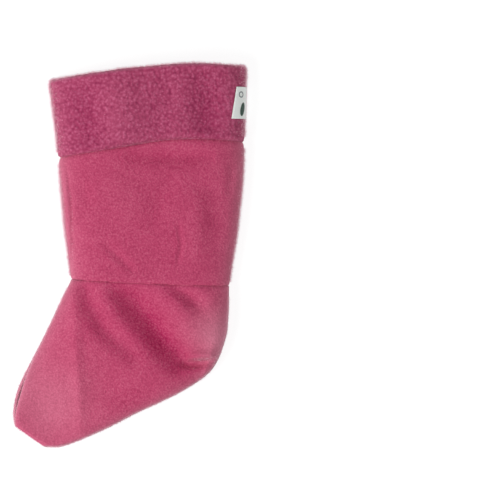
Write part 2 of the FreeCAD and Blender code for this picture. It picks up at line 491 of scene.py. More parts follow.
@dataclass
class Shift:
    """Moves the outline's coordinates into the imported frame."""

    dx: float
    dy: float

    @classmethod
    def from_frame(cls) -> "Shift":
        """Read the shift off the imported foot, whose ends the outline names."""
        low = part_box("foot_side_lower")[0]
        return cls(low[0] / MM - TOE_REACH, low[1] / MM - TOE_DEPTH)

    def apply(self, points: np.ndarray) -> np.ndarray:
        """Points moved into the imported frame."""
        return points + np.array([self.dx, self.dy, 0.0])


@dataclass
class Tube:
    """The lying leg or cuff: front, back and thickness along the leg."""

    levels: tuple[float, ...]
    front: tuple[float, ...]
    back: tuple[float, ...]
    height: tuple[float, ...]
    columns: int

    def loop(self) -> tuple[np.ndarray, np.ndarray, np.ndarray]:
        """Places once round the section.

        Returns:
            The share of the width, the share of the rise, and +1 above or -1 below.
        """
        half = self.columns // 2
        across, up = half_section(half + 1)
        side = np.concatenate([np.ones(half), -np.ones(half)])
        across = np.concatenate([across[:-1], across[::-1][:-1]])
        up = np.concatenate([up[:-1], up[::-1][:-1]])
        return across, up, side

    def place(self, y: np.ndarray, inset: np.ndarray) -> tuple[np.ndarray, np.ndarray]:
        """X and Z of the cloth at levels y, at a depth of inset under the outer face.

        Args:
            y: levels, one row for each ring and one column for each place round the section.
            inset: depth under the outer face, of the same shape.

        Returns:
            X and Z, of the same shape.
        """
        across, up, side = self.loop()
        knots = np.array(self.levels)
        front = smooth_through(y, knots, np.array(self.front)) + inset
        back = smooth_through(y, knots, np.array(self.back)) - inset
        height = smooth_through(y, knots, np.array(self.height))
        rise = height - inset - EDGE_Z
        drop = np.maximum(EDGE_Z + FLOOR_DIP - inset, LEAST_DROP)
        x = front + (back - front) * across
        z = EDGE_Z + np.where(side > 0, rise, -drop) * up
        return x, np.maximum(z, inset)


def roll_in(distance: np.ndarray) -> np.ndarray:
    """Depth of the cloth's roll at a distance from a seam, deeper past the seam."""
    past = np.maximum(-np.asarray(distance), 0)
    return SEAM_TUCK * np.exp(-((np.abs(distance) / SEAM_ROLL) ** 1.3)) + LAP_DIVE * past


def held_flat(distance: np.ndarray) -> np.ndarray:
    """Share of a crease that is left at a distance from a seam, which holds the cloth flatter."""
    return 1.0 - HOLD * np.exp(-((np.abs(distance) / HOLD_REACH) ** 2))


def tube_sheet(tube: Tube, low: Line, high: Line, profile: list, creases: tuple) -> tuple[np.ndarray, int]:
    """Points of a closed ring of cloth between two edges.

    Args:
        tube: the form that the cloth lies on.
        low: the edge nearer the foot.
        high: the edge further up the leg.
        profile: rows of (share between the edges, offset in mm, depth under the outer face,
            extra drop of the upper side).
        creases: creases in its upper side.

    Returns:
        The points, row after row, and the number of rows.
    """
    columns = tube.columns
    share = np.array([row[0] for row in profile])[:, None]
    offset = np.array([row[1] for row in profile])[:, None]
    inset = np.repeat(np.array([row[2] for row in profile])[:, None], columns, 1)
    sink = np.array([row[3] for row in profile])[:, None]
    y = np.full((len(profile), columns), (low[1][1] + high[1][1]) / 2)
    for _ in range(4):
        x, _ = tube.place(y, inset)
        y = level_of(low, x) * (1 - share) + level_of(high, x) * share + offset
    x, z = tube.place(y, inset)
    _, up, side = tube.loop()
    held = held_flat(y - level_of(low, x)) * held_flat(level_of(high, x) - y)
    z = z + np.where(side > 0, up, 0) * (held * relief(x, y, creases) - sink)
    return np.stack([x.ravel(), y.ravel(), z.ravel()], 1), len(profile)


def displaced(piece: bpy.types.Object, amounts: np.ndarray) -> None:
    """Move each point of a piece along its normal.

    Args:
        piece: the piece.
        amounts: how far each point moves, in millimetres.
    """
    mesh = piece.data
    count = len(mesh.vertices)
    places, normals = np.empty(count * 3), np.empty(count * 3)
    mesh.vertices.foreach_get("co", places)
    mesh.vertex_normals.foreach_get("vector", normals)
    places = places.reshape(-1, 3) + normals.reshape(-1, 3) * (amounts * MM)[:, None]
    mesh.vertices.foreach_set("co", places.ravel())
    mesh.update()


def paint_paleness(piece: bpy.types.Object, paleness: np.ndarray) -> None:
    """Note on a piece's points how far its colour is painted paler, from 0 to 1: painted highlight, and
    painted shade where it is low.
    """
    noted = piece.data.attributes.new("painted_paleness", "FLOAT", "POINT")
    noted.data.foreach_set("value", np.clip(paleness, 0, 1).ravel())


# Painted shade in the folds, set towards their shaded toe side, and painted highlight on the ridges.
def lying(points: np.ndarray, creases: tuple) -> np.ndarray:
    """Painted paleness of the pile: painted shade, with no paleness, in a deep fold, and a little painted
    highlight on a ridge.

    Args:
        points: rows of x, y, z in the outline's coordinates.
        creases: the panel's creases.

    Returns:
        The paleness of each point.
    """
    folds = tuple(crease for crease in creases if isinstance(crease, Crease))
    depth = relief(points[:, 0] + SHADE_TOWARD_TOE, points[:, 1] + SHADE_TOWARD_TOE, folds)
    return FOLD_LIGHT_PALE * np.clip(1 + depth / FULL_SHADE_DEPTH, 0, RIDGE_HIGHLIGHT_MOST)


def highlight_spot(x: np.ndarray, y: np.ndarray, spot: tuple) -> np.ndarray:
    """Painted paleness round a spot, as painted highlight."""
    (cx, cy), reach, share = spot
    return share * np.exp(-((np.hypot(x - cx, y - cy) / reach) ** 2))


# ---------------------------------------------------------------- finishes


def two_tone(mat: bpy.types.Material, pattern: bpy.types.NodeSocket, tones: tuple[str, str],
             strength: float, roughness: float, sheen: float) -> None:
    """Finish a material with two tones and fine relief that follow one pattern.

    Args:
        mat: the material, with its pattern's nodes in place.
        pattern: the pattern, from 0 to 1.
        tones: hex colours where the pattern is low and where it is high.
        strength: how strongly the relief shows.
        roughness: the shader's roughness.
        sheen: the shader's sheen.
    """
    tree = mat.node_tree
    mix = add_node(tree, "ShaderNodeMix", {"Factor": pattern}, data_type="RGBA")
    mix.inputs["A"].default_value, mix.inputs["B"].default_value = map(linear, tones)
    bump = add_node(tree, "ShaderNodeBump", {"Height": pattern, "Strength": strength, "Distance": 0.1 * MM})
    shader = add_node(tree, "ShaderNodeBsdfPrincipled", {
        "Base Color": mix.outputs["Result"], "Normal": bump.outputs["Normal"],
        "Roughness": roughness, "Sheen Weight": sheen,
    })
    add_node(tree, "ShaderNodeOutputMaterial", {"Surface": shader.outputs["BSDF"]})


@dataclass(frozen=True)
class FleeceFinish:
    """Brushed or curled polyester fleece: matt, soft-edged, mottled by its pile.

    The three colours run from between the clumps of pile to their tips. The shares say how much the
    knit's wales and the wider clouding add to the mottle, and the glow is painted light, standing for
    light that passes through single fibres. The rim colour tints the sheen, and the pile is painted
    paler towards it as painted light and shade.
    """

    name: str
    deep: str
    mid: str
    light: str
    clump_mm: float
    bump_mm: float
    wale_share: float
    cloud_share: float = 0.25
    sheen: float = 0.6
    rim: str = "F9D0DC"
    glow: float = 0.0
    cloud_mm: float = 14.0
    wale_mm: float = 2.4
    wale_stretch: float = 0.12
    contrast: float = 0.42
    relief_strength: float = 0.75

    def material(self) -> bpy.types.Material:
        """Build the finish: clumped pile in colour and relief, a pale sheen at the edges, and painted light
        and shade from the piece's painted paleness.

        Returns:
            The material.
        """
        mat = empty_material(self.name)
        tree = mat.node_tree
        place = add_node(tree, "ShaderNodeTexCoord").outputs["Object"]
        clumps = add_node(tree, "ShaderNodeTexVoronoi", {"Vector": place, "Scale": 1 / (self.clump_mm * MM)},
                          feature="SMOOTH_F1")
        grain = add_node(tree, "ShaderNodeTexNoise", {
            "Vector": place, "Scale": 1 / (1.3 * self.clump_mm * MM), "Detail": 4.0, "Roughness": 0.62,
        })
        fibres = add_node(tree, "ShaderNodeTexNoise", {
            "Vector": place, "Scale": 1 / (0.45 * self.clump_mm * MM), "Detail": 2.0,
        })
        cloudy = add_node(tree, "ShaderNodeTexNoise", {
            "Vector": place, "Scale": 1 / (self.cloud_mm * MM), "Detail": 2.0,
        })
        wales = add_node(tree, "ShaderNodeMapping", {"Vector": place, "Scale": (1.0, self.wale_stretch, 1.0)})
        streaks = add_node(tree, "ShaderNodeTexNoise", {
            "Vector": wales.outputs["Vector"], "Scale": 1 / (self.wale_mm * MM), "Detail": 1.0,
        })
        pile = add_node(tree, "ShaderNodeMath", {0: grain.outputs["Fac"], 1: clumps.outputs["Distance"]},
                        operation="SUBTRACT")
        tone = pile
        for pattern, share in ((streaks, self.wale_share), (cloudy, self.cloud_share)):
            tone = add_node(tree, "ShaderNodeMath", {0: pattern.outputs["Fac"], 1: share, 2: tone.outputs[0]},
                            operation="MULTIPLY_ADD")
        middle = 0.06 + 0.5 * (self.wale_share + self.cloud_share)      # what the sum comes to on average
        spread = add_node(tree, "ShaderNodeMapRange", {
            "Value": tone.outputs[0], "From Min": middle - self.contrast, "From Max": middle + self.contrast,
        })
        ramp = add_node(tree, "ShaderNodeValToRGB", {"Fac": spread.outputs[0]})
        ramp.color_ramp.elements[0].color = linear(self.deep)
        ramp.color_ramp.elements[1].color = linear(self.light)
        ramp.color_ramp.elements.new(0.5).color = linear(self.mid)
        # Painted light and shade: the pile's colour is paled towards the rim colour as far as the piece's
        # painted paleness says.
        painted_paleness = add_node(tree, "ShaderNodeAttribute", attribute_name="painted_paleness")
        coat = add_node(tree, "ShaderNodeMix", {"Factor": painted_paleness.outputs["Fac"], "A": ramp.outputs["Color"]},
                        data_type="RGBA")
        coat.inputs["B"].default_value = linear(self.rim)
        depth = add_node(tree, "ShaderNodeMath", {0: pile.outputs[0], 1: fibres.outputs["Fac"]},
                         operation="ADD")
        bump = add_node(tree, "ShaderNodeBump", {
            "Height": depth.outputs[0], "Strength": self.relief_strength, "Distance": self.bump_mm * MM,
        })
        shader = add_node(tree, "ShaderNodeBsdfPrincipled", {
            "Base Color": coat.outputs["Result"], "Normal": bump.outputs["Normal"], "Roughness": 0.95,
            "Specular IOR Level": 0.15, "Sheen Weight": self.sheen, "Sheen Roughness": 0.45,
            "Sheen Tint": linear(self.rim),
            "Emission Color": linear(self.rim), "Emission Strength": self.glow,
        })
        add_node(tree, "ShaderNodeOutputMaterial", {"Surface": shader.outputs["BSDF"]})
        return mat


WAVE_SCALE = 0.314           # scale at which a wave texture repeats once in each unit of length


@dataclass(frozen=True)
class ThreadFinish:
    """Twisted polyester thread: fine diagonal twist, a little shine."""

    name: str
    colour: str
    shade: str
    twist_mm: float = 0.5

    def material(self) -> bpy.types.Material:
        """Build the finish: a wave for the twist, in colour and relief.

        Returns:
            The material.
        """
        mat = empty_material(self.name)
        place = add_node(mat.node_tree, "ShaderNodeTexCoord").outputs["Object"]
        twist = add_node(mat.node_tree, "ShaderNodeTexWave", {
            "Vector": place, "Scale": WAVE_SCALE / (self.twist_mm * MM), "Distortion": 1.5,
        }, bands_direction="DIAGONAL")
        two_tone(mat, twist.outputs["Fac"], (self.shade, self.colour), 0.5, 0.55, 0.2)
        return mat


@dataclass(frozen=True)
class WovenRibbonFinish:
    """Damask-woven label ribbon: warp and weft too fine to see, drawn coarse enough to show."""

    name: str
    light: str
    shade: str
    weave_mm: float = 0.7

    def material(self) -> bpy.types.Material:
        """Build the finish: warp and weft waves in colour and relief.

        Returns:
            The material.
        """
        mat = empty_material(self.name)
        place = add_node(mat.node_tree, "ShaderNodeTexCoord").outputs["Object"]
        waves = []
        for direction in ("X", "Y"):
            waves.append(add_node(mat.node_tree, "ShaderNodeTexWave", {
                "Vector": place, "Scale": WAVE_SCALE / (self.weave_mm * MM), "Distortion": 0.4,
            }, bands_direction=direction).outputs["Fac"])
        weave = add_node(mat.node_tree, "ShaderNodeMath", {0: waves[0], 1: waves[1]}, operation="MULTIPLY")
        two_tone(mat, weave.outputs[0], (self.shade, self.light), 0.35, 0.5, 0.15)
        return mat


# Polyester fleece, knitted and brushed. Its short pile scatters light, so the eye gets an even, matt
# rose with a fine mottle, faint wales and a pale bloom where it curves away, partly its sheen and
# partly painted highlight. Clumps at 1.2 mm.
BODY_FLEECE = FleeceFinish("brushed_fleece_rose", "9D194B", "AF2F5B", "BF4F71", clump_mm=1.2, bump_mm=0.4,
                           wale_share=0.12, cloud_share=0.4, sheen=0.25)
# The same fleece with its longer pile left in curls. Light is lost between them, so the eye gets a
# deeper rose with a coarse grain of paler curls. Curls at 1.9 mm.
CUFF_FLEECE = FleeceFinish("curly_fleece_rose", "850543", "9E2E58", "B65177", clump_mm=1.9, bump_mm=0.5,
                           wale_share=0.0, cloud_share=0.12, sheen=0.25)
# Single ends of that pile. Light passes through them, so the eye gets a soft pink edge; their paler colours
# and weak glow are painted light for it.
FIBRE_ENDS = FleeceFinish("loose_fleece_fibres", "B75E7D", "C76E8B", "D5869E", clump_mm=1.2, bump_mm=0.1,
                          wale_share=0.0, glow=0.14)
# Spun polyester sewing thread, twisted. The eye gets fine slanting lines and a little shine, in the
# fleece's rose, the label's white and the grey and dark green of its woven marks.
SEAM_THREAD = ThreadFinish("polyester_thread_rose", "B8456A", "933050")
LABEL_THREAD = ThreadFinish("polyester_thread_white", "F2F4F1", "D8DCD8", 0.35)
MARK_GREY = ThreadFinish("polyester_thread_grey", "7F8688", "666C6E", 0.4)
MARK_GREEN = ThreadFinish("polyester_thread_dark_green", "1F4A3A", "153629", 0.4)
# Polyester damask ribbon, woven with a satin face. The eye gets a clean, cool white with a faint
# cross-hatch. The real weave is about 0.15 mm, too fine to show, so it is drawn at 0.7 mm.
LABEL_RIBBON = WovenRibbonFinish("damask_ribbon_white", "F4F6F3", "E1E6E2")
FLOOR_CARD = "7C7C7C"        # with its glow, the floor gives the eye plain white with hardly a shadow


# ---------------------------------------------------------------- cloth panels


@dataclass
class LegPanel:
    """One strip of brushed fleece wrapped into a tube and closed at its front seam."""

    rows: int = 76
    columns: int = 236
    inner_rows: int = 20
    length: float = 97.0
    crowding: float = 0.35           # how much closer the rows lie towards the seams
    sway: Layer = (0.45, 26.0, 3.1)
    nap: Layer = (0.12, 2.6, 7.7)
    flat: tuple[float, float] = (0.282, 0.098)

    def outer_faces(self) -> slice:
        """The faces on the panel's outside, clear of its seams."""
        return slice(5 * self.columns, (self.rows - 4) * self.columns)

    def build(self, shift: Shift) -> bpy.types.Object:
        """Build the panel with its two turned-in seam allowances.

        Args:
            shift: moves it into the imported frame.

        Returns:
            The panel.
        """
        tube = OUTLINE.leg(self.columns)
        lap = float(roll_in(-SEAM_LAP))
        profile = [(0.0, -SEAM_LAP, lap)]
        for k in range(self.rows + 1):
            s = k / self.rows
            s = s - self.crowding * math.sin(2 * math.pi * s) / (2 * math.pi)
            profile.append((s, 0.0, float(roll_in(s * self.length) + roll_in((1 - s) * self.length))))
        profile.append((1.0, SEAM_LAP, lap))
        step = ALLOWANCE + ALLOWANCE_STEP
        profile += [(1.0, 0.0, 2 * FLEECE), (1.0, -ALLOWANCE, 2 * FLEECE), (1.0, -step, FLEECE)]
        profile += [(1.0 - k / self.inner_rows, 0.0, FLEECE) for k in range(2, self.inner_rows - 1)]
        profile += [(0.0, step, FLEECE), (0.0, ALLOWANCE, 2 * FLEECE), (0.0, 0.0, 2 * FLEECE)]
        profile = [(*row, 0.0) for row in profile]
        points, count = tube_sheet(tube, OUTLINE.ankle_seam, OUTLINE.cuff_seam, profile, LEG_CREASES)
        piece = mesh_piece("leg_fleece", shift.apply(points), ring_faces(count, self.columns))
        turned_outward(piece)
        outer = np.zeros((count, self.columns))
        outer[2:self.rows + 1] = 1.0
        displaced(piece, outer.ravel() * uneven(points, self.sway, self.nap))
        _, up, _ = tube.loop()
        # Painted highlight along the side edges, and painted shade and highlight by the creases.
        pale = np.repeat(EDGE_HIGHLIGHT * (1 - up)[None, :] ** 2, count, 0)
        paint_paleness(piece, pale.ravel() + lying(points, LEG_CREASES))
        return piece

    def dress(self, piece: bpy.types.Object, material: bpy.types.Material) -> None:
        """Args:
            piece: the panel.
            material: its finish.
        """
        piece.data.materials.append(material)
        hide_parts("leg_panel")


@dataclass
class CuffBand:
    """A band of curly fleece folded double along the top edge, pile side out."""

    rows: int = 78
    columns: int = 380
    length: float = 58.0
    ply: float = 2.2                 # thickness of the inner ply
    inner_start: float = 0.06        # share of the height at which the inner ply starts
    arc: int = 9                     # steps round the fold
    inner_rows: int = 27
    turn_depth: float = 3.0          # how far the lower edge turns down to the leg
    turn_reach: float = 2.4
    curl_height: float = 0.55
    curl_mm: float = 2.1
    inner_share: float = 0.7         # the curls inside stand this much less high
    nap: Layer = (0.2, 1.3, 5.0)
    sway: Layer = (0.5, 22.0, 1.3)
    edge_highlight_share: float = 0.3          # the cuff takes this share of the painted edge highlight
    fold_highlight: float = 0.3           # painted highlight over the fold of the top edge, where the light catches it
    flat: tuple[float, float] = (0.297, 0.122)

    def turn_under(self, distance: float) -> float:
        """How far the band's upper side turns down to the leg at a distance from their seam."""
        return self.turn_depth * math.exp(-((distance / self.turn_reach) ** 1.5))

    def outer_faces(self) -> slice:
        """The faces on the band's outside and over its fold, clear of its seam."""
        return slice(6 * self.columns, (self.rows + self.arc) * self.columns)

    def build(self, shift: Shift) -> bpy.types.Object:
        """Build both plies as one folded sheet, then raise its curled pile.

        Args:
            shift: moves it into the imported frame.

        Returns:
            The band.
        """
        tube = OUTLINE.cuff(self.columns)
        wall = 2 * FLEECE
        fold_r = wall / 2
        length = self.length
        profile = []
        for k in range(self.rows + 1):
            s = k / self.rows
            profile.append((s, -fold_r * s, float(roll_in(s * length)), self.turn_under(s * length)))
        for k in range(1, self.arc):
            angle = math.pi * k / self.arc
            profile.append((1.0, -fold_r + fold_r * math.sin(angle), fold_r - fold_r * math.cos(angle), 0.0))
        outside = len(profile)
        for s in np.linspace(1, self.inner_start, self.inner_rows):
            profile.append((s, -fold_r * s, wall, 0.0))
        inside = len(profile)
        for s in np.linspace(self.inner_start, 1, 9):
            profile.append((s, -fold_r * s, wall - self.ply, 0.0))
        profile.append((1.0, -fold_r + 0.3, wall / 2, 0.0))
        for s in np.linspace(1, 0, 14) ** 2:
            under = self.turn_under(s * length)
            profile.append((s, -fold_r * s, self.ply + float(roll_in(s * length)), under))
        points, count = tube_sheet(tube, OUTLINE.cuff_seam, OUTLINE.top_edge, profile, CUFF_CREASES)
        piece = mesh_piece("cuff_fleece", shift.apply(points), ring_faces(count, self.columns))
        turned_outward(piece)
        pile = np.zeros((count, self.columns))
        pile[2:outside] = 1.0
        pile[outside:inside - 1] = self.inner_share
        amount = self.curl_height * (curls(points, self.curl_mm) - 0.4)
        for layer in (self.nap, self.sway):
            amount = amount + uneven(points, layer)
        displaced(piece, pile.ravel() * amount)
        _, up, _ = tube.loop()
        # Painted highlight along the side edges and over the fold, and painted shade and highlight by the
        # creases.
        pale = np.repeat(self.edge_highlight_share * EDGE_HIGHLIGHT * (1 - up)[None, :] ** 2, count, 0)
        pale[self.rows:outside] += self.fold_highlight * np.linspace(0, 1, outside - self.rows)[:, None]
        paint_paleness(piece, pale.ravel() + lying(points, CUFF_CREASES))
        return piece

    def dress(self, piece: bpy.types.Object, material: bpy.types.Material) -> None:
        """Args:
            piece: the band.
            material: its finish.
        """
        piece.data.materials.append(material)
        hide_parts("cuff_band")


@dataclass
class FootSide:
    """One side of the foot: a fleece panel from the ankle seam to the blunt toe."""

    name: str
    node: str
    above: bool
    peek: float = 0.0                # how far it shows past the other side, at the front
    peek_at: float = 0.72
    peek_reach: float = 0.17
    rows: int = 150
    columns: int = 118
    toe_close: float = 0.93          # share of the length at which the toe starts to close
    seam_half: float = 0.15          # half the line between the two sides along the outline
    groove: float = 0.9              # depth and reach of the groove along the outline seam
    groove_reach: float = 1.2
    hold: float = 0.6                # share of a crease that the ankle seam holds flat, and how far
    hold_reach: float = 3.5
    lining_share: float = 0.7        # the creases bottom out on the layers beneath: share of the rise,
    lining_most: float = 3.6         # its limit in millimetres,
    give: float = 0.8                # and how softly
    sway: Layer = (0.4, 24.0, 11.3)
    nap: Layer = (0.12, 2.6, 2.2)
    under_share: float = 0.3         # the side on the floor is this much less uneven, and takes this share of the painted toe and heel highlight
    flat: tuple[float, float] = (0.165, 0.135)
    flat_area: float = 0.0143

    def outer_faces(self) -> slice:
        """The faces on the panel's outside, clear of the ankle seam."""
        return slice(5 * (self.columns - 1), (self.rows - 1) * (self.columns - 1))

    def face(self, inset: float) -> np.ndarray:
        """Points of one of the panel's faces.

        Args:
            inset: depth under the outer face.

        Returns:
            The points, rows by columns by three.
        """
        v = np.linspace(0, 1, self.rows) ** 0.92
        lap = SEAM_LAP * np.exp(-((v / 0.004) ** 2))
        knots = np.linspace(0, 1, len(OUTLINE.foot_height))
        front = smooth_through(v, knots, np.array(OUTLINE.foot_front))
        back = smooth_through(v, knots, np.array(OUTLINE.foot_back))
        height = smooth_through(v, knots, np.array(OUTLINE.foot_height))
        along = back - front
        along /= np.linalg.norm(along, axis=1)[:, None]
        proud = self.peek * np.exp(-(((v - self.peek_at) / self.peek_reach) ** 2))
        front = front - along * proud[:, None] + along * inset
        back = back - along * inset
        closing = np.clip((v - self.toe_close) / (1 - self.toe_close), 0, 1)
        shut = np.sqrt(np.clip(1 - closing**2, 0, 1))
        across, up = half_section(self.columns)
        points = front[:, None, :] + (back - front)[:, None, :] * across[None, :, None]
        x, y = points[..., 0], points[..., 1] + lap[:, None]
        edge = np.minimum(across, 1 - across)[None, :] * np.linalg.norm(back - front, axis=1)[:, None]
        from_ankle = level_of(OUTLINE.ankle_seam, x) - y
        tuck = roll_in(from_ankle) if inset == 0 else 0.0
        if self.above:
            rise = height[:, None] - EDGE_Z - inset
            z = EDGE_Z + self.seam_half + rise * up * shut[:, None]
            shape = up * shut[:, None]
            held = 1.0 - self.hold * np.exp(-((from_ankle / self.hold_reach) ** 2))
            lining = np.minimum(self.lining_share * rise * shape, self.lining_most)
            base = EDGE_Z + self.seam_half + lining
            z = z + shape * held * relief(x, y, FOOT_CREASES) - base
            z = base + self.give * np.logaddexp(0, z / self.give) * np.minimum(4 * shape, 1) - tuck * up
        else:
            z = EDGE_Z - self.seam_half - (EDGE_Z + FLOOR_DIP - inset) * up * shut[:, None] + tuck * up
            z = np.maximum(z, inset)
        if inset == 0:
            groove = self.groove * np.exp(-((edge / self.groove_reach) ** 2)) * (1 if self.above else 0.4)
            x = x + np.where(across < 0.5, groove * along[:, None, 0], -groove * along[:, None, 0])
            y = y + np.where(across < 0.5, groove * along[:, None, 1], -groove * along[:, None, 1])
        return np.stack([x, y, z], -1)

    def build(self, shift: Shift) -> bpy.types.Object:
        """Build the panel as a closed shell one layer of fleece thick.

        Args:
            shift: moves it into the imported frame.

        Returns:
            The panel.
        """
        outer, inner = self.face(0.0).reshape(-1, 3), self.face(FLEECE).reshape(-1, 3)
        faces, border = shell_faces(self.rows, self.columns)
        points = np.concatenate([outer, inner])
        piece = mesh_piece(self.name, shift.apply(points), faces)
        turned_outward(piece)
        weight = np.concatenate([np.ones(len(outer)), np.zeros(len(inner))])
        weight[border] = 0.0
        scale = 1.0 if self.above else self.under_share
        displaced(piece, scale * weight * uneven(points, self.sway, self.nap))
        x, y = points[:, 0], points[:, 1]
        _, up = half_section(self.columns)
        # Painted highlight along the side edges, painted shade and highlight by the creases, and painted
        # highlight at the toe and heel.
        pale = np.tile(EDGE_HIGHLIGHT * (1 - up) ** 2, 2 * self.rows)
        pale = pale + lying(points, FOOT_CREASES)
        paint_paleness(piece, pale + scale * (highlight_spot(x, y, TOE_HIGHLIGHT) + highlight_spot(x, y, HEEL_HIGHLIGHT)))
        return piece

    def dress(self, piece: bpy.types.Object, material: bpy.types.Material) -> None:
        """Args:
            piece: the panel.
            material: its finish.
        """
        piece.data.materials.append(material)
        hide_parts(self.node)


# ---------------------------------------------------------------- fuzz


@dataclass
class Fuzz:
    """Loose fibre ends that stand off a panel and soften its edges."""

    name: str
    slot: str
    count: int
    seed: int
    length: float = 3.0
    shortest: float = 0.25           # share of that length
    width: float = 0.09
    root: float = 0.25               # how deep the fibres start in the pile
    scatter: float = 0.35
    lean: float = 0.45
    clear: float = 0.8               # none start lower than this above the floor
    least: float = 0.1               # and no tip reaches lower than this
    # painted paleness at a fibre's root; its tip is painted fully pale, as painted light for light passing
    # through
    root_painted_pale: float = 0.2

    def build(self, panel: bpy.types.Object, outer: slice) -> bpy.types.Object:
        """Scatter closed spikes of four faces each, most of them along a panel's side edges.

        Args:
            panel: the fleece that the fibres stand on.
            outer: which of its faces may carry fibres.

        Returns:
            The fuzz, as one piece.
        """
        random = np.random.default_rng(self.seed)
        mesh = panel.data
        faces = len(mesh.polygons)
        centre, normal, area = np.empty(faces * 3), np.empty(faces * 3), np.empty(faces)
        mesh.polygons.foreach_get("center", centre)
        mesh.polygons.foreach_get("normal", normal)
        mesh.polygons.foreach_get("area", area)
        centre, normal = centre.reshape(-1, 3) / MM, normal.reshape(-1, 3)
        chance = area * np.clip(1.1 - 1.5 * np.abs(normal[:, 2]), 0, 1) ** 2 * (centre[:, 2] > self.clear)
        bare = np.ones(faces, bool)
        bare[outer] = False
        chance[bare] = 0.0
        chosen = random.choice(faces, self.count, p=chance / chance.sum())
        foot = centre[chosen] + random.normal(0, self.scatter, (self.count, 3))
        foot -= normal[chosen] * self.root
        lean = normal[chosen] + random.normal(0, self.lean, (self.count, 3))
        lean /= np.linalg.norm(lean, axis=1)[:, None]
        tip = foot + lean * (self.length * random.uniform(self.shortest, 1.0, self.count))[:, None]
        tip[:, 2] = np.maximum(tip[:, 2], self.least)
        side = np.cross(lean, random.normal(0, 1, (self.count, 3)))
        side /= np.linalg.norm(side, axis=1)[:, None]
        other = np.cross(lean, side)
        thirds = (0.0, 2.1, 4.2)     # about a third of a turn apart
        corners = [foot + self.width * (math.cos(a) * side + math.sin(a) * other) for a in thirds]
        points = np.stack([*corners, tip], 1).reshape(-1, 3)
        base = np.arange(self.count)[:, None] * 4
        tris = np.concatenate([base + np.array(t) for t in ((0, 2, 1), (0, 1, 3), (1, 2, 3), (2, 0, 3))])
        piece = mesh_piece(self.name, points, tris.tolist())
        turned_outward(piece)
        # The fibres are painted paler towards their tips, as painted light for the light that passes through
        # them.
        paint_paleness(piece, np.tile([self.root_painted_pale] * 3 + [1.0], self.count))
        return piece

    def dress(self, piece: bpy.types.Object, material: bpy.types.Material) -> None:
        """Give the fuzz its finish."""
        piece.data.materials.append(material)


# ---------------------------------------------------------------- label


